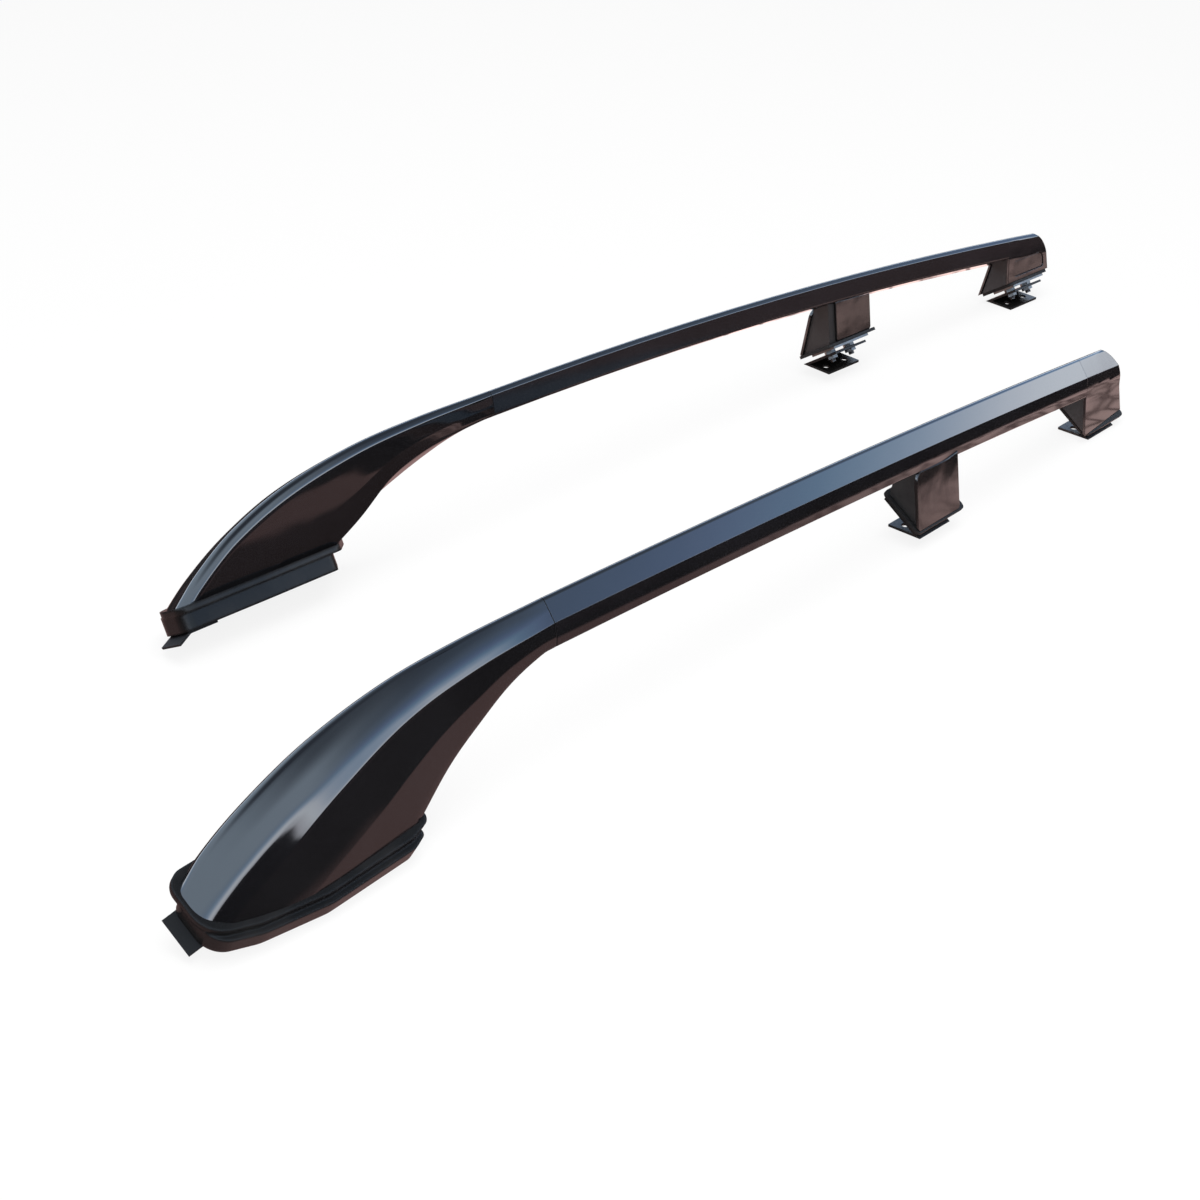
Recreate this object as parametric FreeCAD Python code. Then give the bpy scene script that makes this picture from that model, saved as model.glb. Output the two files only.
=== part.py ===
import FreeCAD, Part
import math
import os
from FreeCAD import Vector

os.makedirs("parts", exist_ok=True)

# Each rail is drawn as the left one: x runs rearward from the seam, y inboard, z up from the floor.
# Rail run
rail_span = 949.0
crest_at_seam = 165.1
crest_at_middle = 144.8
crest_at_rear = 102.9
rail_bow = 6.6
tube_wall = 2.5
skin = 3.0
slip = 0.3
seam_ring_length = 1.0
seam_groove = 0.5

# Layout of the pair
rail_spacing = 347.0
right_set_back = 287.0
right_turn = -3.8

# Rail section as (inboard, above the crest, corner radius)
crest_corner = (0.0, 0.0, 4.0)
crease_corner = (-17.0, -20.7, 0.8)
side_corner = (-20.3, -33.0, 30.0)
outer_corner = (-20.6, -46.6, 2.0)
inner_corner = (10.8, -27.3, 3.0)
shoulder_corner = (5.0, -5.0, 3.0)
rail_section = [crest_corner, crease_corner, side_corner, outer_corner, inner_corner, shoulder_corner]

# Guide lines of the front shell as (x, y, z), from the seam to below the nose
crest_guide = [(0, 0, 165.1), (-106, 1.5, 166.6), (-194, 3, 162.1), (-281, 3.5, 145.4), (-347, 4.5, 119.7),
               (-396, 8.5, 87), (-429, 10.5, 52.6)]
crease_guide = [(0, -17, 144.4), (-106, -19.5, 141.3), (-194, -25, 131.6), (-281, -33.5, 104.9), (-347, -34.5, 68.8),
                (-396, -31.5, 39.7), (-429, -28.5, 13.1)]
outer_guide = [(0, -20.6, 118.5), (-18, -20.4, 118), (-62, -21.5, 105.6), (-106, -26.5, 86.3), (-150, -31.5, 62.9),
               (-194, -37.5, 28.6), (-238, -42.5, -9.8), (-328, -47.5, -58.4), (-429, -45.5, -91.9)]
inner_guide = [(0, 10.8, 137.8), (-18, 11, 137.7), (-62, 11.5, 134.6), (-106, 12.5, 128.3), (-150, 14.5, 113.9),
               (-194, 17.5, 84.6), (-238, 19.5, 60.2), (-328, 22.5, 6.6), (-429, 20.5, -51.9)]
nose_x = -429.0
shell_spans = 24
shoulder_in_nose = 9.0
shoulder_drop_nose = 12.0
crest_radius_nose = 9.0

# Swell of the shell between its guide lines, at the seam and at the nose
crown_at_seam = 0.2
crown_at_nose = 9.0
crown_radius_seam = 90.0
crown_radius_nose = 45.0
crease_radius_nose = 24.0
side_share_seam = 0.475
side_share_nose = 0.36
side_swell_seam = 1.6
side_swell_nose = 5.0
waist_share = 0.55
waist_at_seam = 0.2
waist_at_nose = 4.0
shell_steps = [4, 2, 4, 1, 1, 1, 0, 1]
room_steps = [2, 1, 2, 0, 0, 0, 0, 0]
least_radius = 0.3

# Front foot base, seal, tab
front_outer_y = -47.5
front_slope = 30.0
seal_flange = 7.0
seal_lip = 19.0
lip_shift = 11.0
seal_step = 4.0
seal_outline = [(-426, 20, 30), (-426, 81, 18), (-318, 85, 60), (-230, 83, 14), (-178, 12, 10),
                (-208, 2, 24), (-308, -2, 60), (-378, 6, 60)]
lip_set_back = 12.0
tab_near = 23.0
tab_width = 38.0
tab_sheet = 2.5
tab_root_x = -382.0
tab_bend_x = -415.0
tab_tip_x = -431.0
tab_drop = 8.0

# Spigots inside the rail ends
spigot_length = 60.0
spigot_in_shell = 8.0
core_gap = 0.8

# Feet: where each stands, its base plane and its cover sizes
middle_foot = {"start": 572.0, "length": 80.0, "outer_y": -37.6, "outer_z": 24.2, "slope": 34.0, "width": 58.0}
rear_foot = {"start": rail_span, "length": 80.0, "outer_y": -28.0, "outer_z": 11.9, "slope": 34.0, "width": 52.0}
cover = 3.5
cover_corner = 4.0
cover_front_corner = 14.0
post_set_in = 3.0
inner_cover_front = 14.0
end_radius = 36.0
end_lean = 5.0
panel_border = 7.0
panel_corner = 9.0
panel_sink = 1.0
panel = 1.6

# Clamp stack under both feet, measured down from the base plane
pad = 4.0
pad_lip = 2.0
pad_ledge = 9.0
rear_ledge = 2.0
clamp_plate = 3.0
nut_height = 4.0
nut_across = 13.0
bracket_sheet = 3.0
bolt_radius = 4.0
bolt_in_core = 12.0
bolt_tip = 4.0
bolt_clearance = 0.4
bolt_share = 0.45
bracket_share = 0.74
bracket_front_share = 0.08
flange_hole_radius = 4.5
bracket_apex = 0.0
flange_reach = 38.0

# The cutting blocks reach past the highest point of the rail
cut_reach = 1.5 * crest_at_seam
cut_out = crest_at_seam

circle = Part.Circle(Vector(0, 0, crest_at_seam), Vector(rail_span / 2, -rail_bow, crest_at_middle),
                     Vector(rail_span, 0, crest_at_rear))
turn_at_rear = math.degrees((Vector(0, 0, crest_at_seam) - circle.Center).getAngle(
    Vector(rail_span, 0, crest_at_rear) - circle.Center))
seam_crest = Vector(0, 0, crest_at_seam)
along_rail = circle.Axis.cross(seam_crest - circle.Center).normalize()
across_rail = (Vector(0, 1, 0) - along_rail * along_rail.y).normalize()
up_rail = along_rail.cross(across_rail).normalize()


def turn(x):
    return turn_at_rear * x / rail_span


def carried(shape, x):
    moved = shape.copy()
    moved.rotate(circle.Center, circle.Axis, turn(x))
    return moved


def seam_point(y, drop):
    return seam_crest + across_rail * y + up_rail * drop


def carried_point(y, drop, x):
    return carried(Part.Vertex(seam_point(y, drop)), x).Point


def corner_arc(before, corner, after, radius):
    back = (before - corner).normalize()
    ahead = (after - corner).normalize()
    half = back.getAngle(ahead) / 2
    reach = radius / math.tan(half)
    centre = corner + (back + ahead).normalize() * (radius / math.sin(half))
    return corner + back * reach, corner + ahead * reach, centre, math.pi - 2 * half


def arc_point(first, last, centre, sweep, share):
    near = (first - centre) * math.sin((1 - share) * sweep)
    return centre + (near + (last - centre) * math.sin(share * sweep)) * (1 / math.sin(sweep))


def rounded_wire(points, radii):
    ends = []
    edges = []
    count = len(points)
    for i, corner in enumerate(points):
        if radii[i] == 0:
            ends.append((corner, corner))
            continue
        first, last, centre, sweep = corner_arc(points[i - 1], corner, points[(i + 1) % count], radii[i])
        ends.append((first, last))
        edges.append(Part.Arc(first, arc_point(first, last, centre, sweep, 0.5), last).toShape())
    for i in range(count):
        edges.append(Part.makeLine(ends[i][1], ends[(i + 1) % count][0]))
    return Part.Wire(Part.__sortEdges__(edges))


def stepped_wire(points, radii, steps):
    corners = []
    count = len(points)
    for i, corner in enumerate(points):
        if steps[i] == 0:
            corners.append(corner)
            continue
        first, last, centre, sweep = corner_arc(points[i - 1], corner, points[(i + 1) % count], radii[i])
        for k in range(steps[i] + 1):
            corners.append(arc_point(first, last, centre, sweep, k / steps[i]))
    return Part.makePolygon(corners + corners[:1])


def inset(corners, distance):
    count = len(corners)
    area = 0.0
    for i in range(count):
        area += corners[i - 1][0] * corners[i][1] - corners[i][0] * corners[i - 1][1]
    side = distance if area > 0 else -distance
    lines = []
    for i in range(count):
        y, z = corners[i][:2]
        dy = corners[(i + 1) % count][0] - y
        dz = corners[(i + 1) % count][1] - z
        length = math.hypot(dy, dz)
        lines.append((y - side * dz / length, z + side * dy / length, dy, dz))
    moved = []
    for i in range(count):
        ay, az, ady, adz = lines[i - 1]
        by, bz, bdy, bdz = lines[i]
        along = ((by - ay) * bdz - (bz - az) * bdy) / (ady * bdz - adz * bdy)
        moved.append((ay + ady * along, az + adz * along, corners[i][2]))
    return moved


def squared(corners):
    return [(y, z, radius if radius > 10 else 0) for y, z, radius in corners]


def swept(corners, x0, x1):
    points = [seam_point(y, drop) for y, drop, radius in corners]
    face = carried(Part.Face(rounded_wire(points, [radius for y, drop, radius in corners])), x0)
    return face.revolve(circle.Center, circle.Axis, turn(x1) - turn(x0))


def follow(guide, x):
    for i in range(len(guide) - 1):
        if guide[i][0] >= x >= guide[i + 1][0]:
            break
    here, there = guide[i], guide[i + 1]
    before, after = guide[max(i - 1, 0)], guide[min(i + 2, len(guide) - 1)]
    span = there[0] - here[0]
    t = (x - here[0]) / span
    values = []
    for axis in (1, 2):
        slope_here = (there[axis] - before[axis]) / (there[0] - before[0]) * span
        slope_there = (after[axis] - here[axis]) / (after[0] - here[0]) * span
        value = (2 * t ** 3 - 3 * t ** 2 + 1) * here[axis] + (t ** 3 - 2 * t ** 2 + t) * slope_here
        value += (3 * t ** 2 - 2 * t ** 3) * there[axis] + (t ** 3 - t ** 2) * slope_there
        values.append(value)
    return values


def between(seam_value, nose_value, x):
    return seam_value + (nose_value - seam_value) * x / nose_x


def swollen(near, far, share, swell):
    dy = far[0] - near[0]
    dz = far[1] - near[1]
    length = math.hypot(dy, dz)
    return near[0] + dy * share + dz / length * swell, near[1] + dz * share - dy / length * swell


def shell_corners(x):
    crest = follow(crest_guide, x)
    crease = follow(crease_guide, x)
    outer = follow(outer_guide, x)
    inner = follow(inner_guide, x)
    shoulder = (crest[0] + between(shoulder_corner[0], shoulder_in_nose, x),
                crest[1] - between(-shoulder_corner[1], shoulder_drop_nose, x))
    crown = swollen(crest, crease, 0.5, between(crown_at_seam, crown_at_nose, x))
    side_share = between(side_share_seam, side_share_nose, x)
    side = swollen(crease, outer, side_share, between(side_swell_seam, side_swell_nose, x))
    waist = swollen(inner, shoulder, 1 - waist_share, between(waist_at_seam, waist_at_nose, x))
    return [(crest[0], crest[1], between(crest_corner[2], crest_radius_nose, x)),
            (crown[0], crown[1], between(crown_radius_seam, crown_radius_nose, x)),
            (crease[0], crease[1], between(crease_corner[2], crease_radius_nose, x)),
            (side[0], side[1], side_corner[2]),
            (outer[0], outer[1], outer_corner[2]),
            (inner[0], inner[1], inner_corner[2]),
            (waist[0], waist[1], least_radius),
            (shoulder[0], shoulder[1], shoulder_corner[2])]


def shell_loft(distance, steps):
    wires = []
    for i in range(shell_spans + 1):
        x = nose_x * i / shell_spans
        corners = inset(shell_corners(x), distance)
        points = [seam_point(y, z - crest_at_seam) if i == 0 else Vector(x, y, z) for y, z, radius in corners]
        radii = [max(radius - distance, least_radius) for y, z, radius in corners]
        wires.append(stepped_wire(points, radii, steps))
    return Part.makeLoft(wires, True, False)


def prism(points, x0, x1):
    corners = [Vector(x0, y, z) for y, z in points]
    return Part.Face(Part.makePolygon(corners + corners[:1])).extrude(Vector(x1 - x0, 0, 0))


def strip(path, sheet):
    left, right = [], []
    for i, (y, z) in enumerate(path):
        back = path[max(i - 1, 0)]
        ahead = path[min(i + 1, len(path) - 1)]
        a = math.atan2(z - back[1], y - back[0]) if i else math.atan2(ahead[1] - z, ahead[0] - y)
        b = math.atan2(ahead[1] - z, ahead[0] - y) if i < len(path) - 1 else a
        swing = (b - a + math.pi) % (2 * math.pi) - math.pi
        normal = a + swing / 2 + math.pi / 2
        reach = sheet / 2 / math.cos(swing / 2)
        left.append((y + reach * math.cos(normal), z + reach * math.sin(normal)))
        right.append((y - reach * math.cos(normal), z - reach * math.sin(normal)))
    return left + right[::-1]


def base_point(foot, along, down):
    angle = math.radians(foot["slope"])
    y = foot["outer_y"] + along * math.cos(angle) + down * math.sin(angle)
    z = foot["outer_z"] + along * math.sin(angle) - down * math.cos(angle)
    return y, z


def base_vector(foot, x, along, down):
    y, z = base_point(foot, along, down)
    return Vector(x, y, z)


def base_slab(foot, outline, top, bottom):
    points = [base_vector(foot, x, along, top) for x, along, radius in outline]
    face = Part.Face(rounded_wire(points, [radius for x, along, radius in outline]))
    return face.extrude(base_vector(foot, 0, 0, bottom) - base_vector(foot, 0, 0, top))


def below_base(foot, x0, x1):
    corners = [base_point(foot, -cut_out, 0), base_point(foot, cut_reach, 0),
               base_point(foot, cut_reach, cut_reach), base_point(foot, -cut_out, cut_reach)]
    return prism(corners, x0, x1)


def base_pin(foot, radius, x, along, top, bottom):
    start = base_vector(foot, x, along, top)
    return Part.makeCylinder(radius, bottom - top, start, base_vector(foot, x, along, bottom) - start)


def base_hexagon(foot, across, x, along, top, bottom):
    corners = []
    for i in range(6):
        angle = math.radians(60 * i)
        corners.append(base_vector(foot, x + across / math.sqrt(3) * math.cos(angle),
                                   along + across / math.sqrt(3) * math.sin(angle), top))
    face = Part.Face(Part.makePolygon(corners + corners[:1]))
    return face.extrude(base_vector(foot, 0, 0, bottom) - base_vector(foot, 0, 0, top))


nodes = {}

# Front foot
outline_low = min(along for x, along, radius in seal_outline)
front_base = {"outer_y": front_outer_y, "slope": front_slope,
              "outer_z": (seal_flange + seal_lip) * math.cos(math.radians(front_slope))
              - (outline_low + seal_step - lip_shift) * math.sin(math.radians(front_slope))}
front_below = below_base(front_base, nose_x - 50, 50)
nodes["front_shell"] = shell_loft(0, shell_steps).cut(shell_loft(skin, room_steps)).cut(front_below)

lip_rear = max(x for x, along, radius in seal_outline) - lip_set_back
lip_outline = [(min(x, lip_rear), along - lip_shift, max(radius - seal_step, 0)) for x, along, radius in
               inset(seal_outline, seal_step)]
flange_slab = base_slab(front_base, seal_outline, 0, seal_flange)
lip_slab = base_slab(front_base, lip_outline, seal_flange, seal_flange + seal_lip)
nodes["front_seal"] = flange_slab.fuse(lip_slab).removeSplitter()

tab_depth = seal_flange + seal_lip + tab_sheet / 2
tab_path = [(tab_root_x, tab_depth), (tab_bend_x, tab_depth), (tab_tip_x, tab_depth + tab_drop)]
tab_corners = [base_vector(front_base, x, tab_near, down) for x, down in strip(tab_path, tab_sheet)]
tab_face = Part.Face(Part.makePolygon(tab_corners + tab_corners[:1]))
tab_across = base_vector(front_base, 0, tab_width, 0) - base_vector(front_base, 0, 0, 0)
nodes["front_tab"] = tab_face.extrude(tab_across)

spigot = squared(inset(rail_section, skin + core_gap))
nodes["front_spigot"] = swept(spigot, -spigot_in_shell, spigot_length)
nodes["seam_ring"] = swept(inset(rail_section, seam_groove), 0, seam_ring_length).cut(
    swept(squared(inset(rail_section, skin)), -1, seam_ring_length + 1))
nodes["rail_tube"] = swept(rail_section, seam_ring_length, rail_span).cut(
    swept(squared(inset(rail_section, tube_wall)), seam_ring_length - 1, rail_span + 1))

# Middle foot
grown_rail = swept(inset(rail_section, -slip), middle_foot["start"] - 40,
                   middle_foot["start"] + middle_foot["length"] + 40)
middle_x = middle_foot["start"] + middle_foot["length"] / 2
rail_outer = carried_point(outer_corner[0], outer_corner[1], middle_x)
rail_inner = carried_point(inner_corner[0], inner_corner[1], middle_x)
outer_top = (rail_outer.y + 0.5, rail_outer.z + 6)
outer_bottom = base_point(middle_foot, 0, 0)
inner_top = (rail_inner.y - 2.5, rail_inner.z + 2)
inner_bottom = base_point(middle_foot, middle_foot["width"], 0)


def face_panel(top, bottom, x0, x1, start, stop, radii, sheet, lift=0.0):
    down = Vector(0, bottom[0] - top[0], bottom[1] - top[1]).normalize()
    corner = Vector(0, top[0], top[1]) + Vector(0, -down.z, down.y) * lift
    length = Vector(0, bottom[0] - top[0], bottom[1] - top[1]).Length
    points = [corner + down * start + Vector(x0, 0, 0), corner + down * start + Vector(x1, 0, 0),
              corner + down * (length - stop) + Vector(x1, 0, 0), corner + down * (length - stop) + Vector(x0, 0, 0)]
    inward = Vector(0, -down.z, down.y) * sheet
    return Part.Face(rounded_wire(points, radii)).extrude(inward)


start, length = middle_foot["start"], middle_foot["length"]
outer_cover = face_panel(outer_top, outer_bottom, start, start + length, 0, 0,
                         [cover_front_corner, cover_corner, cover_corner, cover_corner], cover)
inner_cover = face_panel(inner_top, inner_bottom, start + inner_cover_front, start + length, 0, 0,
                         [cover_corner] * 4, -cover)
foot_space = below_base(middle_foot, start - 20, start + length + 20)
nodes["middle_outer_cover"] = outer_cover.cut(grown_rail).cut(foot_space)
nodes["middle_inner_cover"] = inner_cover.cut(grown_rail).cut(foot_space)
post_corners = inset([(outer_top[0], outer_top[1], 1), (outer_bottom[0], outer_bottom[1], 1),
                      (inner_bottom[0], inner_bottom[1], 1), (inner_top[0], inner_top[1], 1)], cover)
post_outline = [corner[:2] for corner in post_corners]


def stretched(near, far, share):
    return near[0] + (near[0] - far[0]) * share, near[1] + (near[1] - far[1]) * share


post_reach = [stretched(post_outline[0], post_outline[1], 0.1), stretched(post_outline[1], post_outline[0], 0.3),
              stretched(post_outline[2], post_outline[3], 0.3), stretched(post_outline[3], post_outline[2], 0.1)]
post = prism(post_reach, start + post_set_in, start + length - post_set_in).cut(foot_space).cut(grown_rail)
clamp_bolts, clamp_nuts = [], []


def clamp(name, foot, core_solid, ledge):
    start, length, width = foot["start"], foot["length"], foot["width"]
    plate_top = pad
    nut_top = plate_top + clamp_plate
    leg_top = nut_top + nut_height
    lower_nut = leg_top + bracket_sheet
    bolt_bottom = lower_nut + nut_height + bolt_tip
    bolt_along = width * 0.55
    bolt_spacing = length * bolt_share
    bolt_xs = [start + length / 2 - bolt_spacing / 2, start + length / 2 + bolt_spacing / 2]
    pad_outline = [(start - pad_lip, -pad_lip, 6), (start + length + ledge, -pad_lip, 6),
                   (start + length + ledge, width + pad_lip, 6), (start - pad_lip, width + pad_lip, 6)]
    pad_solid = base_slab(foot, pad_outline, 0, pad)
    plate_outline = [(start + 6, width * 0.22, 4), (start + length - 6, width * 0.22, 4),
                     (start + length - 6, width, 4), (start + 6, width, 4)]
    plate_solid = base_slab(foot, plate_outline, plate_top, nut_top)
    leg_middle = leg_top + bracket_sheet / 2
    leg_end = base_point(foot, width * 0.96, leg_middle)
    leg_start = base_point(foot, bracket_apex, leg_middle)
    toe = (leg_start[0] + flange_reach, leg_start[1])
    front = start + length * bracket_front_share
    bracket_length = length * bracket_share
    bracket = prism(strip([leg_end, leg_start, toe], bracket_sheet), front, front + bracket_length)
    flange_y = leg_start[0] + flange_reach * 0.6
    flange_x = front + bracket_length / 2
    for x in (flange_x - bolt_spacing / 2, flange_x + bolt_spacing / 2):
        bracket = bracket.cut(Part.makeCylinder(flange_hole_radius, 8, Vector(x, flange_y, toe[1] - 4)))
    for x in bolt_xs:
        core_solid = core_solid.cut(base_pin(foot, bolt_radius + bolt_clearance, x, bolt_along, -bolt_in_core, 1))
        hole = base_pin(foot, bolt_radius + bolt_clearance, x, bolt_along, -1, lower_nut + 1)
        pad_solid = pad_solid.cut(hole)
        plate_solid = plate_solid.cut(hole)
        bracket = bracket.cut(hole)
        clamp_bolts.append(base_pin(foot, bolt_radius, x, bolt_along, -bolt_in_core, bolt_bottom))
        bore = base_pin(foot, bolt_radius + slip / 2, x, bolt_along, -bolt_in_core, bolt_bottom)
        for top in (nut_top, lower_nut):
            clamp_nuts.append(base_hexagon(foot, nut_across, x, bolt_along, top, top + nut_height).cut(bore))
    nodes[name + "_pad"] = pad_solid
    nodes[name + "_plate"] = plate_solid
    nodes[name + "_bracket"] = bracket
    return core_solid


nodes["middle_post"] = clamp("middle", middle_foot, post, pad_ledge)

# Rear foot: the rail skin runs on, spreads down to the base and turns over at the end
rear_start = rear_foot["start"]
rear_end = rear_start + rear_foot["length"]
rear_outer = (rear_foot["outer_y"] - 4, rear_foot["outer_z"] - crest_at_rear - 18, 4.0)
rear_inner_base = base_point(rear_foot, rear_foot["width"], 0)
rear_inner = (rear_inner_base[0] + 8, rear_inner_base[1] - crest_at_rear - 32, 4.0)
rear_section = [crest_corner, crease_corner, side_corner, (outer_corner[0], outer_corner[1], 60.0), rear_outer, rear_inner,
                (inner_corner[0], inner_corner[1], 30.0), shoulder_corner]
rear_below = below_base(rear_foot, rear_start - 100, rear_end + 100)


def end_profile(distance):
    crest = carried_point(0, 0, rear_start)
    crest_end = carried_point(0, 0, rear_end - end_radius)
    slope = (crest_end.z - crest.z) / (crest_end.x - crest.x)
    top_end = crest.z + slope * (rear_end - crest.x) + 0.08
    points = [Vector(rear_start - 90, -120, crest.z - slope * 90 + 0.08 - distance),
              Vector(rear_end - distance, -120, top_end - distance),
              Vector(rear_end + end_lean - distance, -120, -40), Vector(rear_start - 90, -120, -40)]
    face = Part.Face(rounded_wire(points, [1, end_radius - distance, 1, 1]))
    return face.extrude(Vector(0, 240, 0))


rear_body = swept(rear_section, rear_start, rear_end + 40).common(end_profile(0)).cut(rear_below)
rear_room = swept(squared(inset(rear_section, skin)), rear_start - 1, rear_end + 40).common(end_profile(skin))
rear_shell = rear_body.cut(rear_room)
rear_fill = swept(squared(inset(rear_section, skin + core_gap)), rear_start + 2, rear_end + 40)
rear_core = rear_fill.common(end_profile(skin + core_gap)).cut(rear_below)
rear_core = rear_core.fuse(swept(spigot, rear_start - spigot_length, rear_start + 6))
nodes["rear_core"] = clamp("rear", rear_foot, rear_core, rear_ledge)
nodes["clamp_bolts"] = Part.makeCompound(clamp_bolts)
nodes["clamp_nuts"] = Part.makeCompound(clamp_nuts)

panel_top = carried_point(inner_corner[0], inner_corner[1], (rear_start + rear_end) / 2)
panel_place = ((panel_top.y, panel_top.z), rear_inner_base)
panel_radii = [cover_corner, panel_corner, cover_corner, cover_corner]
panel_x0 = rear_start + panel_border
panel_x1 = rear_end - panel_border
rear_window = face_panel(*panel_place, panel_x0, panel_x1, panel_border / 3, panel_border, panel_radii, 16, -8)
panel_tight = face_panel(*panel_place, panel_x0 + slip, panel_x1 - slip, panel_border / 3 + slip,
                         panel_border + slip, panel_radii, 16, -8)
panel_front = swept(inset(rear_section, panel_sink), rear_start, rear_end + 40)
panel_back = swept(squared(inset(rear_section, panel_sink + panel)), rear_start - 1, rear_end + 41)
nodes["rear_inner_cover"] = panel_front.common(panel_tight).cut(panel_back)
nodes["rear_shell"] = rear_shell.cut(rear_window)

# The pair stands centred on the origin, the right rail mirrored, set back and turned
placed = {}
pair_box = FreeCAD.BoundBox()
for name, shape in nodes.items():
    right = shape.mirror(Vector(0, 0, 0), Vector(0, 1, 0))
    right.rotate(Vector(0, 0, 0), Vector(0, 0, 1), right_turn)
    right.translate(Vector(right_set_back, rail_spacing, 0))
    placed["left_" + name] = shape.copy()
    placed["right_" + name] = right
    print(name, len(shape.Solids), "solids", round(shape.Volume / 1000, 2), "cm3", shape.isValid())
for shape in placed.values():
    pair_box.add(shape.optimalBoundingBox())
for name, shape in placed.items():
    shape.translate(Vector(-pair_box.Center.x, -pair_box.Center.y, -pair_box.ZMin))
    shape.exportStep("parts/" + name + ".step")
print("pair centred at", round(pair_box.Center.x, 3), round(pair_box.Center.y, 3), round(pair_box.ZMin, 3))
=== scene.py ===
import math

import bmesh
import bpy
from mathutils import Matrix, Vector


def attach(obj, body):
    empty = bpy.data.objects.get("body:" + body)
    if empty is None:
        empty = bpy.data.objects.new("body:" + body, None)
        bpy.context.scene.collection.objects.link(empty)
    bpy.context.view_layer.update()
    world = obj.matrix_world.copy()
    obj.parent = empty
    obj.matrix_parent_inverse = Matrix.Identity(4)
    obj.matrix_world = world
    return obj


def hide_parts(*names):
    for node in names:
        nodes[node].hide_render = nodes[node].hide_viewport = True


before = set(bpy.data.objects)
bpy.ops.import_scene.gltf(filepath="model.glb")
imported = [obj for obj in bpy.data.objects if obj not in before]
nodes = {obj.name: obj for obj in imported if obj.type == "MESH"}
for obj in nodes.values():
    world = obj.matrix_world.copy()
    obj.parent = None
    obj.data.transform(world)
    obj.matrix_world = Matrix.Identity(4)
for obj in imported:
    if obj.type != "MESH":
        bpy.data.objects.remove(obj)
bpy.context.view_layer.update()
scene = bpy.context.scene
scene.view_settings.view_transform = "Standard"
railSides = ("left", "right")
print("frame loaded with", len(nodes), "pieces")


class Wire:
    # one socket of a node tree; sums and products of wires add their own Math nodes
    def __init__(self, tree, socket=None):
        self.tree = tree
        self.socket = socket

    def node(self, kind, settings=None, inputs=None, out=0):
        made = self.tree.nodes.new(kind)
        for key, value in (settings or {}).items():
            if key == "stops":
                self.fillRamp(made.color_ramp, value)
            else:
                setattr(made, key, value)
        for key, value in (inputs or {}).items():
            if isinstance(value, Wire):
                self.tree.links.new(value.socket, made.inputs[key])
            else:
                made.inputs[key].default_value = value
        return Wire(self.tree, made.outputs[out] if made.outputs else None)

    def fillRamp(self, ramp, stops):
        while len(ramp.elements) > 1:
            ramp.elements.remove(ramp.elements[-1])
        for i, (place, colour) in enumerate(stops):
            stop = ramp.elements[0] if i == 0 else ramp.elements.new(place)
            stop.position = place
            stop.color = opaque(colour)

    def maths(self, operation, first, second, clamp=False):
        settings = {"operation": operation, "use_clamp": clamp}
        return self.node("ShaderNodeMath", settings, {0: first, 1: second})

    def __add__(self, other):
        return self.maths("ADD", self, other)

    def __radd__(self, other):
        return self.maths("ADD", other, self)

    def __sub__(self, other):
        return self.maths("SUBTRACT", self, other)

    def __rsub__(self, other):
        return self.maths("SUBTRACT", other, self)

    def __mul__(self, other):
        return self.maths("MULTIPLY", self, other)

    def __rmul__(self, other):
        return self.maths("MULTIPLY", other, self)

    def __truediv__(self, other):
        return self.maths("DIVIDE", self, other)

    def __rtruediv__(self, other):
        return self.maths("DIVIDE", other, self)

    def clipped(self):
        return self.maths("ADD", self, 0.0, True)

    def most(self, other):
        return self.maths("MAXIMUM", self, other)

    def size(self):
        return self.maths("ABSOLUTE", self, 0.0)

    def band(self, low, high):
        return self.node("ShaderNodeMapRange", {"interpolation_type": "SMOOTHSTEP"},
                         {"Value": self, "From Min": low, "From Max": high})


def newTree(name):
    material = bpy.data.materials.new(name)
    material.use_nodes = True
    material.node_tree.nodes.clear()
    return material, Wire(material.node_tree)


def closeTree(tree, surface):
    tree.node("ShaderNodeOutputMaterial", None, {"Surface": surface})


def opaque(colour):
    return (*colour, 1.0) if isinstance(colour, tuple) else colour


# The Mix node has sockets for each kind of data; these are the ones for colours
colourMix = {"share": 0, "first": 6, "second": 7, "result": 2}


def mixed(tree, share, first, second, blend="MIX"):
    values = {"share": share, "first": opaque(first), "second": opaque(second)}
    inputs = {colourMix[key]: value for key, value in values.items()}
    return tree.node("ShaderNodeMix", {"data_type": "RGBA", "blend_type": blend}, inputs, colourMix["result"])


def objectPlace(tree):
    return tree.node("ShaderNodeTexCoord", None, None, "Object")


def noise(tree, place, scale, detail, roughness=0.55):
    inputs = {"Vector": place, "Scale": scale, "Detail": detail, "Roughness": roughness}
    return tree.node("ShaderNodeTexNoise", None, inputs)


def softEdge(tree, radius, samples=6):
    return tree.node("ShaderNodeBevel", {"samples": samples}, {"Radius": radius})


def bumped(tree, height, depth, normal):
    inputs = {"Strength": 1.0, "Distance": depth, "Height": height, "Normal": normal}
    return tree.node("ShaderNodeBump", None, inputs)


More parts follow.
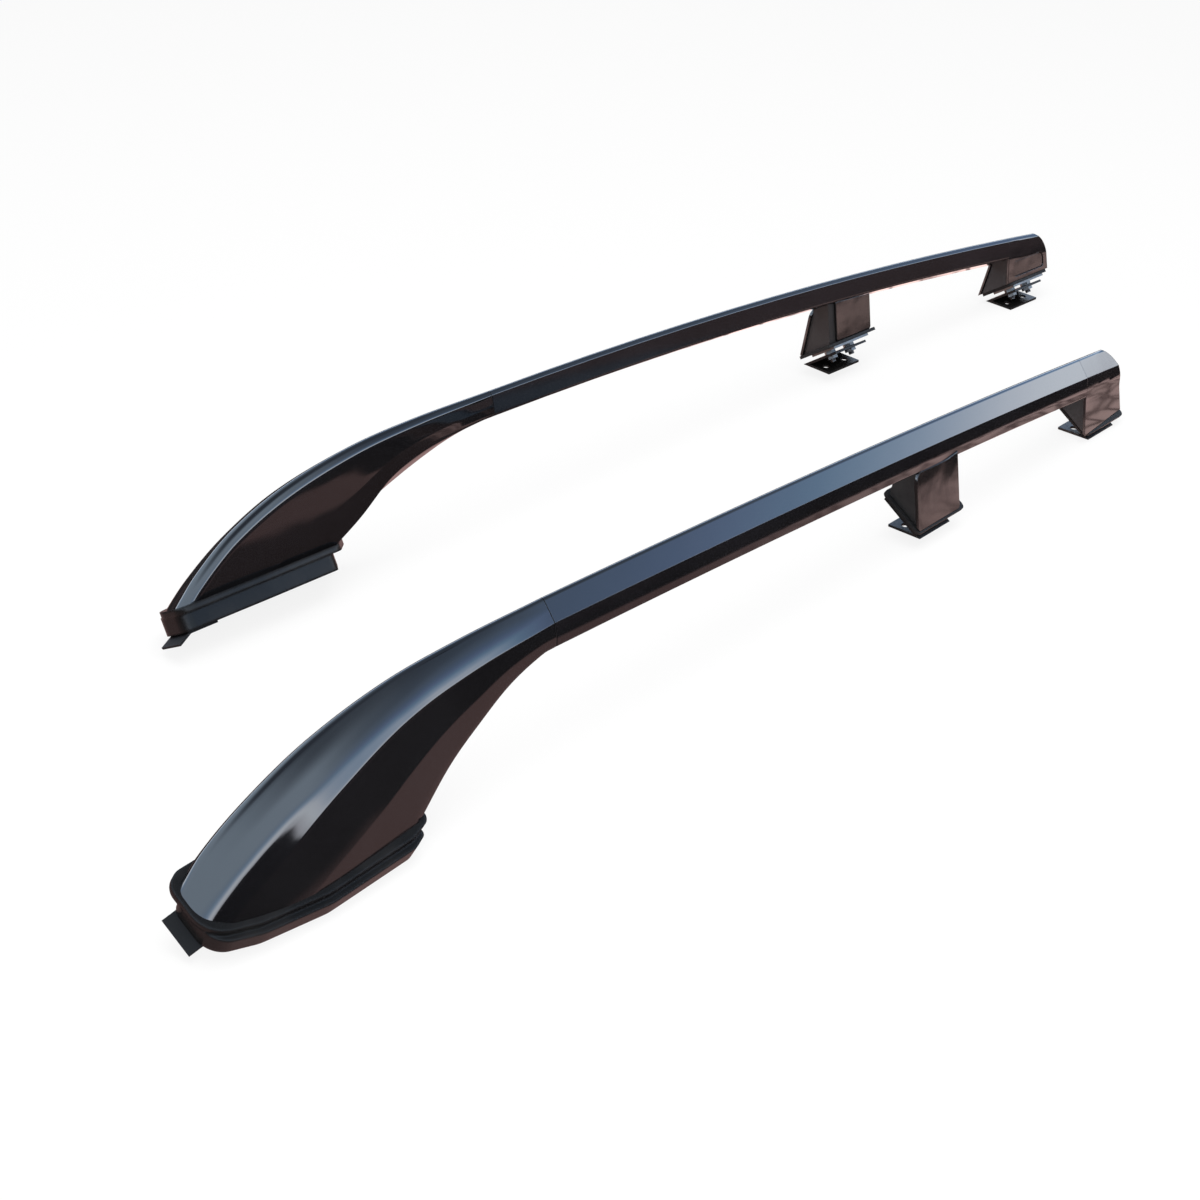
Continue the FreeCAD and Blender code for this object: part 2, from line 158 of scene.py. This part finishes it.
# Every black piece shares one recipe, with its own tones, scales and depths; depths and edges in metres
finishes = {
    "railPaint": {
        "dark": (0.0035, 0.0036, 0.0045), "light": (0.006, 0.006, 0.0075),
        "rough": 0.07, "spread": 0.04, "gloss": 1.0, "edge": 0.0003,
        "grain": 900.0, "grainDepth": 0.000001, "wave": 22.0, "waveDepth": 0.00006},
    "shellPlastic": {
        "dark": (0.0035, 0.0035, 0.0042), "light": (0.006, 0.006, 0.007),
        "rough": 0.035, "spread": 0.03, "gloss": 1.0, "edge": 0.0002,
        "grain": 1100.0, "grainDepth": 0.000001, "wave": 16.0, "waveDepth": 0.0005},
    "endPlastic": {
        "dark": (0.0035, 0.0035, 0.0042), "light": (0.006, 0.006, 0.007),
        "rough": 0.08, "spread": 0.05, "gloss": 1.0, "edge": 0.0012,
        "grain": 1100.0, "grainDepth": 0.000001, "wave": 24.0, "waveDepth": 0.0004},
    "coverPlastic": {
        "dark": (0.004, 0.0038, 0.004), "light": (0.008, 0.0075, 0.0075),
        "rough": 0.12, "spread": 0.08, "gloss": 1.0, "edge": 0.0014,
        "grain": 900.0, "grainDepth": 0.000006, "wave": 42.0, "waveDepth": 0.0006},
    "mattePlastic": {
        "dark": (0.009, 0.009, 0.0095), "light": (0.016, 0.016, 0.0165),
        "rough": 0.55, "spread": 0.15, "gloss": 0.2, "edge": 0.0001,
        "grain": 1400.0, "grainDepth": 0.00005, "wave": 30.0, "waveDepth": 0.00005},
    "sealRubber": {
        "dark": (0.006, 0.006, 0.0062), "light": (0.013, 0.0125, 0.0125),
        "rough": 0.2, "spread": 0.1, "gloss": 0.22, "edge": 0.004,
        "grain": 700.0, "grainDepth": 0.00002, "wave": 40.0, "waveDepth": 0.0001},
    "padRubber": {
        "dark": (0.008, 0.008, 0.0082), "light": (0.017, 0.0165, 0.0165),
        "rough": 0.42, "spread": 0.2, "gloss": 0.2, "edge": 0.001,
        "grain": 700.0, "grainDepth": 0.00006, "wave": 40.0, "waveDepth": 0.0001},
    "castCore": {
        "dark": (0.012, 0.011, 0.011), "light": (0.024, 0.022, 0.021),
        "rough": 0.38, "spread": 0.2, "gloss": 0.5, "edge": 0.0008,
        "grain": 520.0, "grainDepth": 0.00012, "wave": 60.0, "waveDepth": 0.0001},
    "bracketPaint": {
        "dark": (0.006, 0.0058, 0.0058), "light": (0.012, 0.0115, 0.011),
        "rough": 0.28, "spread": 0.15, "gloss": 0.25, "edge": 0.0007,
        "grain": 620.0, "grainDepth": 0.00003, "wave": 30.0, "waveDepth": 0.00008},
}
blackRecipe = {"cloudScale": 0.4, "cloudDetail": 4.0, "cloudBand": (0.35, 0.7), "cloudShare": 0.6,
               "grainDetail": 2.0, "grainShare": 0.4, "waveDetail": 1.5, "waveRoughness": 0.4}


def blackFinish(name, look):
    material, tree = newTree(name)
    place = objectPlace(tree)
    cloud = noise(tree, place, look["wave"] * blackRecipe["cloudScale"], blackRecipe["cloudDetail"])
    grain = noise(tree, place, look["grain"], blackRecipe["grainDetail"])
    wave = noise(tree, place, look["wave"], blackRecipe["waveDetail"], blackRecipe["waveRoughness"])
    swell = bumped(tree, wave, look["waveDepth"], softEdge(tree, look["edge"]))
    patches = cloud * blackRecipe["cloudShare"] + grain * blackRecipe["grainShare"]
    surface = tree.node("ShaderNodeBsdfPrincipled", None, {
        "Base Color": mixed(tree, cloud.band(*blackRecipe["cloudBand"]), look["dark"], look["light"]),
        "Roughness": look["rough"] + patches * look["spread"],
        "Specular IOR Level": look["gloss"],
        "Normal": bumped(tree, grain, look["grainDepth"], swell)})
    closeTree(tree, surface)
    return material


zincLook = {"dark": (0.1, 0.1, 0.098), "light": (0.22, 0.22, 0.215), "rough": 0.28, "spread": 0.2,
            "edge": 0.0004, "haze": 260.0, "hazeDetail": 3.0, "hazeDepth": 0.00003, "hazeShare": 0.7,
            "spangle": 90.0, "spangleShare": 0.5}


def zincFinish(name, look):
    material, tree = newTree(name)
    place = objectPlace(tree)
    spangle = tree.node("ShaderNodeTexVoronoi", None, {"Vector": place, "Scale": look["spangle"]})
    haze = noise(tree, place, look["haze"], look["hazeDetail"])
    bloom = (haze * look["hazeShare"] + spangle * look["spangleShare"]).clipped()
    surface = tree.node("ShaderNodeBsdfPrincipled", None, {
        "Base Color": mixed(tree, bloom, look["dark"], look["light"]),
        "Metallic": 1.0,
        "Roughness": look["rough"] + haze * look["spread"],
        "Normal": bumped(tree, haze, look["hazeDepth"], softEdge(tree, look["edge"]))})
    closeTree(tree, surface)
    return material


materials = {name: blackFinish(name, look) for name, look in finishes.items()}
materials["zincSteel"] = zincFinish("zincSteel", zincLook)

# What each piece of a rail is made of
pieceFinish = {
    "rail_tube": "railPaint", "front_shell": "shellPlastic", "rear_shell": "endPlastic",
    "middle_outer_cover": "coverPlastic", "middle_inner_cover": "coverPlastic",
    "rear_inner_cover": "coverPlastic", "seam_ring": "mattePlastic", "front_tab": "mattePlastic",
    "front_spigot": "castCore", "front_seal": "sealRubber", "middle_pad": "padRubber",
    "rear_pad": "padRubber", "middle_post": "castCore", "rear_core": "castCore",
    "middle_bracket": "bracketPaint", "rear_bracket": "bracketPaint", "middle_plate": "zincSteel",
    "rear_plate": "zincSteel", "clamp_bolts": "zincSteel", "clamp_nuts": "zincSteel",
}
for side in railSides:
    for piece, finish in pieceFinish.items():
        slots = nodes[side + "_" + piece].data.materials
        slots.clear()
        slots.append(materials[finish])
print("finishes given to", len(railSides) * len(pieceFinish), "pieces")

# Where the two rails stand, in millimetres from the left rail's seam; centre is the frame's origin
layout = {"setBack": 287.0, "spacing": 347.0, "turn": math.radians(-3.8),
          "centre": (443.34, 183.647, 0.037), "perMetre": 1000.0}


def onRail(side, x, y, z):
    if side == "right":
        cosine, sine = math.cos(layout["turn"]), math.sin(layout["turn"])
        x, y = x * cosine + y * sine + layout["setBack"], x * sine - y * cosine + layout["spacing"]
    cx, cy, cz = layout["centre"]
    return Vector((x - cx, y - cy, z - cz)) / layout["perMetre"]


def skinRings(shape, rings):
    for near, far in zip(rings, rings[1:]):
        for i in range(len(near)):
            shape.faces.new((near[i - 1], near[i], far[i], far[i - 1]))
    shape.faces.new(rings[0])
    shape.faces.new(rings[-1][::-1])


def finishedMesh(name, shape):
    mesh = bpy.data.meshes.new(name)
    shape.to_mesh(mesh)
    shape.free()
    return mesh


def newPiece(name, mesh, material):
    piece = bpy.data.objects.new(name, mesh)
    scene.collection.objects.link(piece)
    piece.data.materials.append(material)
    return piece


# Front shell, drawn smooth over its guide lines of (x, y, z) and closed at the seam and the foot
shell = {
    "crest": [(0, 0, 165.1), (-106, 1.5, 166.6), (-194, 3, 162.1), (-281, 3.5, 145.4),
              (-347, 4.5, 119.7), (-396, 8.5, 87), (-429, 10.5, 52.6)],
    "crease": [(0, -17, 144.4), (-106, -19.5, 141.3), (-194, -25, 131.6), (-281, -33.5, 104.9),
               (-347, -34.5, 68.8), (-396, -31.5, 39.7), (-429, -28.5, 13.1)],
    "outer": [(0, -20.6, 118.5), (-18, -20.4, 118), (-62, -21.5, 105.6), (-106, -26.5, 86.3),
              (-150, -31.5, 62.9), (-194, -37.5, 28.6), (-238, -42.5, -9.8), (-328, -47.5, -58.4),
              (-429, -45.5, -91.9)],
    "inner": [(0, 10.8, 137.8), (-18, 11, 137.7), (-62, 11.5, 134.6), (-106, 12.5, 128.3),
              (-150, 14.5, 113.9), (-194, 17.5, 84.6), (-238, 19.5, 60.2), (-328, 22.5, 6.6),
              (-429, 20.5, -51.9)],
    # pairs hold a value at the seam and what it gains up to the nose
    "shoulder": ((5.0, 4.0), (-5.0, -7.0)),  # inward and down from the crest
    "crown": ((0.5, 0.0), (0.2, 8.8)),  # share of the way between its neighbours, then swell
    "waist": ((0.475, -0.115), (1.6, 3.4)),
    "flank": ((0.45, 0.0), (0.2, 3.8)),
    # radius and arc steps of each corner, from the crest round by the crease and back
    "rounds": [((4.0, 5.0), 12), ((90.0, -45.0), 8), ((0.8, 23.2), 12), ((30.0, 0.0), 6),
               ((2.0, 0.0), 4), ((3.0, 0.0), 4), ((0.5, 0.0), 2), ((3.0, 20.0), 10)],
    "nose": -429.0, "rings": 84, "flatSteps": 4, "seamSlope": (-0.0278, -0.02), "slopeFade": 60.0,
    "footY": -47.5, "footZ": 27.017, "footSlope": math.radians(30.0), "cutSlack": 1e-5, "hardAngle": 0.6,
}


def follow(line, x):
    for i in range(len(line) - 1):
        if line[i][0] >= x >= line[i + 1][0]:
            break
    here, there = line[i], line[i + 1]
    before, after = line[max(i - 1, 0)], line[min(i + 2, len(line) - 1)]
    span = there[0] - here[0]
    t = (x - here[0]) / span
    point = []
    for axis in (1, 2):
        slopeHere = (there[axis] - before[axis]) / (there[0] - before[0]) * span
        slopeThere = (after[axis] - here[axis]) / (after[0] - here[0]) * span
        point.append((2 * t ** 3 - 3 * t ** 2 + 1) * here[axis] + (t ** 3 - 2 * t ** 2 + t) * slopeHere
                     + (3 * t ** 2 - 2 * t ** 3) * there[axis] + (t ** 3 - t ** 2) * slopeThere)
    return Vector(point)


def grown(pair, share):
    return pair[0] + pair[1] * share


def swollen(near, far, pairs, share):
    place, swell = (grown(pair, share) for pair in pairs)
    run = far - near
    return near + run * place + Vector((run.y, -run.x)).normalized() * swell


def shellCorners(x):
    share = x / shell["nose"]
    crest, crease, outer, inner = (follow(shell[name], x) for name in ("crest", "crease", "outer", "inner"))
    shoulder = crest + Vector([grown(pair, share) for pair in shell["shoulder"]])
    crown = swollen(crest, crease, shell["crown"], share)
    waist = swollen(crease, outer, shell["waist"], share)
    flank = swollen(inner, shoulder, shell["flank"], share)
    points = (crest, crown, crease, waist, outer, inner, flank, shoulder)
    return [(point, grown(radius, share), steps) for point, (radius, steps) in zip(points, shell["rounds"])]


def shellRing(x):
    corners = shellCorners(x)
    arcs = []
    for i, (corner, radius, steps) in enumerate(corners):
        back = (corners[i - 1][0] - corner).normalized()
        ahead = (corners[(i + 1) % len(corners)][0] - corner).normalized()
        half = back.angle(ahead) / 2
        centre = corner + (back + ahead).normalized() * radius / math.sin(half)
        first = corner + back * radius / math.tan(half) - centre
        last = corner + ahead * radius / math.tan(half) - centre
        sweep = math.pi - 2 * half
        arc = []
        for k in range(steps + 1):
            spoke = first * math.sin(sweep * (1 - k / steps)) + last * math.sin(sweep * k / steps)
            arc.append(centre + spoke / math.sin(sweep))
        arcs.append(arc)
    ring = []
    for i, arc in enumerate(arcs):
        ring += arc
        after = arcs[(i + 1) % len(arcs)][0]
        ring += [arc[-1].lerp(after, k / shell["flatSteps"]) for k in range(1, shell["flatSteps"])]
    return ring


def cutFoot(shape):
    slope = shell["footSlope"]
    bmesh.ops.bisect_plane(shape, geom=shape.verts[:] + shape.edges[:] + shape.faces[:],
                           dist=shell["cutSlack"], plane_co=(0.0, shell["footY"], shell["footZ"]),
                           plane_no=(0.0, -math.sin(slope), math.cos(slope)), clear_inner=True)
    bmesh.ops.holes_fill(shape, edges=[edge for edge in shape.edges if edge.is_boundary], sides=0)


def shellMesh(name, side):
    shape = bmesh.new()
    rings = []
    top = shell["crest"][0][2]
    slopeY, slopeZ = shell["seamSlope"]
    for i in range(shell["rings"] + 1):
        x = shell["nose"] * (i / shell["rings"])
        fade = max(0.0, 1.0 + x / shell["slopeFade"])  # the seam's tilt dies out along the shell
        rings.append([shape.verts.new((x - fade * (slopeY * p.x + slopeZ * (p.y - top)), p.x, p.y))
                      for p in shellRing(x)])
    skinRings(shape, rings)
    cutFoot(shape)
    for vert in shape.verts:
        vert.co = onRail(side, *vert.co)
    bmesh.ops.recalc_face_normals(shape, faces=shape.faces[:])
    for face in shape.faces:
        face.smooth = True
    for edge in shape.edges:
        edge.smooth = edge.calc_face_angle(0.0) < shell["hardAngle"]
    return finishedMesh(name, shape)


for side in railSides:
    name = side + "SmoothShell"
    piece = newPiece(name, shellMesh(name, side), materials["shellPlastic"])
    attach(piece, "root")
    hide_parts(side + "_front_shell")
    print(piece.name, "has", len(piece.data.polygons), "faces")

# Clamp bolts in metres, cut with a screw thread up to a short plain point at each end
bolt = {"radius": 0.004, "root": 0.0034, "pitch": 0.00125, "stepsPerTurn": 4, "sides": 24, "point": 0.0008,
        "apart": 0.012, "lean": math.radians(34.0)}


def boltSpans(node, axis):
    groups = []  # the CAD node holds four bolts, told apart by their place across the axis
    for vert in node.data.vertices:
        place = node.matrix_world @ vert.co
        reach = place.dot(axis)
        across = place - axis * reach
        near = [group for group in groups if (group[0][0] - across).length < bolt["apart"]]
        if near:
            near[0].append((across, reach))
        else:
            groups.append([(across, reach)])
    spans = []
    for group in groups:
        acrosses, reaches = zip(*group)
        centre = Vector([(min(p[i] for p in acrosses) + max(p[i] for p in acrosses)) / 2 for i in range(3)])
        spans.append((centre, min(reaches), max(reaches)))
    return spans


def threadRadius(fromStart, toEnd, turn):
    ridge = abs(2 * ((fromStart / bolt["pitch"] - turn) % 1.0) - 1)
    if min(fromStart, toEnd) < bolt["point"]:
        ridge = 0.0
    return bolt["root"] + (bolt["radius"] - bolt["root"]) * ridge


def threadMesh(name, spans, axis):
    shape = bmesh.new()
    across = axis.orthogonal().normalized()
    beside = axis.cross(across)
    sides = bolt["sides"]
    for centre, low, high in spans:
        count = int((high - low) / bolt["pitch"] * bolt["stepsPerTurn"])
        rings = []
        for i in range(count + 1):
            reach = low + (high - low) * i / count
            ring = []
            for k in range(sides):
                angle = 2 * math.pi * k / sides
                outward = across * math.cos(angle) + beside * math.sin(angle)
                radius = threadRadius(reach - low, high - reach, k / sides)
                ring.append(shape.verts.new(centre + axis * reach + outward * radius))
            rings.append(ring)
        skinRings(shape, rings)
    bmesh.ops.recalc_face_normals(shape, faces=shape.faces[:])
    return finishedMesh(name, shape)


for side in railSides:
    tip = onRail(side, 0.0, -math.sin(bolt["lean"]), math.cos(bolt["lean"]))
    axis = (tip - onRail(side, 0.0, 0.0, 0.0)).normalized()
    spans = boltSpans(nodes[side + "_clamp_bolts"], axis)
    name = side + "ThreadedBolts"
    piece = newPiece(name, threadMesh(name, spans, axis), materials["zincSteel"])
    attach(piece, "root")
    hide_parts(side + "_clamp_bolts")
    lengths = [round(high - low, 4) for centre, low, high in spans]
    print(piece.name, "has", len(spans), "bolts,", lengths, "long")

# Studio: white floor and background, and a glowing sky dome and ground card that only the gloss mirrors, as
# painted sky and ground reflections
studio = {"floorRadius": 60.0, "floorHeight": -0.0004, "floorColour": (0.8, 0.8, 0.8), "floorGlow": 0.86,
          "discSides": 64, "ambient": 0.45, "backdrop": 1.0, "white": (1.0, 1.0, 1.0)}
sky = {
    "radius": 14.0, "around": 48, "upward": 24,
    # glow by height, from the ground line to overhead, painting a sky reflection with a bright horizon band
    "stops": [(0.0, (0.012, 0.012, 0.015)), (0.18, (0.014, 0.014, 0.018)), (0.195, (2.6, 2.7, 3.0)),
              (0.242, (3.6, 3.9, 4.3)), (0.276, (3.3, 3.6, 4.1)), (0.326, (1.85, 2.4, 3.2)),
              (0.378, (0.95, 1.55, 2.35)), (0.43, (0.7, 1.03, 1.75)), (0.475, (0.55, 0.83, 1.36)),
              (0.54, (0.48, 0.68, 1.0)), (0.62, (0.33, 0.46, 0.66)), (0.8, (0.2, 0.27, 0.38)),
              (1.0, (0.15, 0.2, 0.28))],
    # a lighter glow toward the front, a painted brighter reflection: where it sets in, and how it rises and
    # falls with height
    "front": (0.5, -0.05), "rise": (0.25, 0.5), "fall": (0.98, 0.7), "frontTone": (1.35, 1.7, 2.1),
}
ground = {
    "radius": 13.0, "height": 0.0006,
    # glow by distance from the middle line, at the front and at the rear, painting a brown ground reflection:
    # darker along the middle line and brighter toward the rear
    "front": [(0.0, (0.1, 0.07, 0.07)), (0.17, (0.1, 0.07, 0.07)), (0.21, (0.4, 0.25, 0.24)),
              (0.335, (0.4, 0.25, 0.24)), (0.365, (0.05, 0.045, 0.047)), (0.8, (0.045, 0.04, 0.045)),
              (0.95, (0.1, 0.075, 0.08))],
    "rear": [(0.0, (0.3, 0.21, 0.2)), (0.17, (0.3, 0.21, 0.2)), (0.21, (1.5, 1.08, 1.0)),
             (0.335, (1.45, 1.02, 0.97)), (0.365, (0.06, 0.05, 0.05)), (0.8, (0.05, 0.045, 0.05)),
             (0.95, (0.26, 0.19, 0.2))],
    "cracks": [(0.0, (0.22, 0.2, 0.2)), (0.04, (0.3, 0.28, 0.28)), (0.09, (1.0, 1.0, 1.0)),
               (0.45, (1.15, 1.1, 1.1))],
    "crackScale": 22.0, "reach": 1.2, "turn": (-0.15, 0.5),
    # the glow bands close in on the middle line on both sides of this place
    "fanMiddle": -0.25, "fanBoth": 0.175, "fanBack": 0.075,
}


def stagePiece(name, mesh, material, onlyMirrored):
    piece = newPiece(name, mesh, material)
    if onlyMirrored:
        piece.visible_camera = False
        piece.visible_diffuse = False
        piece.visible_transmission = False
        piece.visible_shadow = False


def flatDisc(name, radius, height):
    shape = bmesh.new()
    bmesh.ops.create_circle(shape, cap_ends=True, segments=studio["discSides"], radius=radius,
                            matrix=Matrix.Translation((0, 0, height)))
    return finishedMesh(name, shape)


def skyMesh(name):
    shape = bmesh.new()
    bmesh.ops.create_uvsphere(shape, u_segments=sky["around"], v_segments=sky["upward"], radius=sky["radius"])
    return finishedMesh(name, shape)


def along(tree, axis):
    return tree.node("ShaderNodeSeparateXYZ", None, {"Vector": objectPlace(tree)}, axis)


def ramp(tree, value, stops):
    return tree.node("ShaderNodeValToRGB", {"stops": stops}, {"Fac": value})


# Emission of the sky dome: a painted sky reflection that only the gloss shows
def skyGlow(tree):
    height = along(tree, "Z") / sky["radius"]
    lit = height.band(*sky["rise"]) * height.band(*sky["fall"])
    front = (along(tree, "X") / sky["radius"]).band(*sky["front"]) * lit
    return mixed(tree, front, ramp(tree, height, sky["stops"]), sky["frontTone"])


# Emission of the ground card: a painted reflection of brown paving with dark joints that only the gloss shows
def groundGlow(tree):
    back = along(tree, "X")
    fan = back - ground["fanMiddle"]
    fanned = along(tree, "Y").size() + fan.size() * ground["fanBoth"] - fan * ground["fanBack"]
    away = fanned / ground["reach"]
    cracks = tree.node("ShaderNodeTexVoronoi", {"feature": "DISTANCE_TO_EDGE"}, {
        "Vector": objectPlace(tree), "Scale": ground["crackScale"]})
    paving = ramp(tree, cracks, ground["cracks"])
    rear = mixed(tree, 1.0, ramp(tree, away, ground["rear"]), paving, "MULTIPLY")
    return mixed(tree, back.band(*ground["turn"]), ramp(tree, away, ground["front"]), rear)


def glowing(name, colour):
    material, tree = newTree(name)
    closeTree(tree, tree.node("ShaderNodeEmission", None, {"Color": colour(tree)}))
    return material


def seenDirectly(tree):
    seen, mirrored, through = (tree.node("ShaderNodeLightPath", None, None, ray)
                               for ray in ("Is Camera Ray", "Is Glossy Ray", "Is Transmission Ray"))
    return seen.most(mirrored).most(through)


def blended(tree, share, first, second):
    return tree.node("ShaderNodeMixShader", None, {0: share, 1: first, 2: second})


def paleFloor(name):
    material, tree = newTree(name)
    matte = tree.node("ShaderNodeBsdfDiffuse", None, {"Color": opaque(studio["floorColour"])})
    glow = tree.node("ShaderNodeEmission", None, {"Color": opaque(studio["white"])})
    closeTree(tree, blended(tree, seenDirectly(tree) * studio["floorGlow"], matte, glow))
    return material


def backdrop(tree, strength):
    return tree.node("ShaderNodeBackground", None, {"Color": opaque(studio["white"]), "Strength": strength})


floorDisc = flatDisc("floor", studio["floorRadius"], studio["floorHeight"])
stagePiece("floor", floorDisc, paleFloor("paleFloor"), False)
# the sky dome and ground card glow for glossy rays only: painted sky and ground reflections on the gloss
stagePiece("paintedSkyReflection", skyMesh("paintedSkyReflection"), glowing("paintedSkyReflection", skyGlow), True)
groundDisc = flatDisc("paintedGroundReflection", ground["radius"], ground["height"])
stagePiece("paintedGroundReflection", groundDisc, glowing("paintedGroundReflection", groundGlow), True)

world = bpy.data.worlds.new("studioWorld")
world.use_nodes = True
world.node_tree.nodes.clear()
tree = Wire(world.node_tree)
soft, plain = (backdrop(tree, studio[strength]) for strength in ("ambient", "backdrop"))
air = blended(tree, seenDirectly(tree), soft, plain)
tree.node("ShaderNodeOutputWorld", None, {"Surface": air})
scene.world = world

lamps = {
    "overheadSoftbox": {"place": (-0.4, -0.6, 3.2), "aim": (0.0, 0.0, 0.0), "size": 2.6, "power": 120.0},
    "sideSoftbox": {"place": (-2.6, -2.2, 1.8), "aim": (0.0, 0.0, 0.1), "size": 1.8, "power": 40.0},
}
for name, look in lamps.items():
    light = bpy.data.lights.new(name, "AREA")
    light.size = look["size"]
    light.energy = look["power"]
    lamp = bpy.data.objects.new(name, light)
    lamp.location = look["place"]
    lamp.visible_glossy = False
    lamp.rotation_euler = (Vector(look["aim"]) - Vector(look["place"])).to_track_quat("-Z", "Y").to_euler()
    scene.collection.objects.link(lamp)
print("studio lit by", len(lamps), "lamps")

# Camera at the photograph's angle: angles in radians, focal length in pixels of a picture as wide as width
view = {"place": (-1.7311, -1.3684, 1.1789), "heading": 0.8574, "dip": 0.5261, "roll": 0.0287,
        "focal": 2217.2, "width": 1200.0, "sensor": 36.0, "farthest": 100.0}
right = Vector((math.cos(view["heading"]), -math.sin(view["heading"]), 0.0))
ahead = Vector((math.sin(view["heading"]) * math.cos(view["dip"]),
                math.cos(view["heading"]) * math.cos(view["dip"]), -math.sin(view["dip"])))
up = right.cross(ahead)
tiltedRight = right * math.cos(view["roll"]) + up * math.sin(view["roll"])
tiltedUp = up * math.cos(view["roll"]) - right * math.sin(view["roll"])
lens = bpy.data.cameras.new("photoCamera")
lens.sensor_width = view["sensor"]
lens.lens = view["sensor"] * view["focal"] / view["width"]
lens.clip_end = view["farthest"]
camera = bpy.data.objects.new("photoCamera", lens)
turned = Matrix((tiltedRight, tiltedUp, -ahead)).transposed().to_4x4()
camera.matrix_world = Matrix.Translation(view["place"]) @ turned
scene.collection.objects.link(camera)
scene.camera = camera
print("camera set")
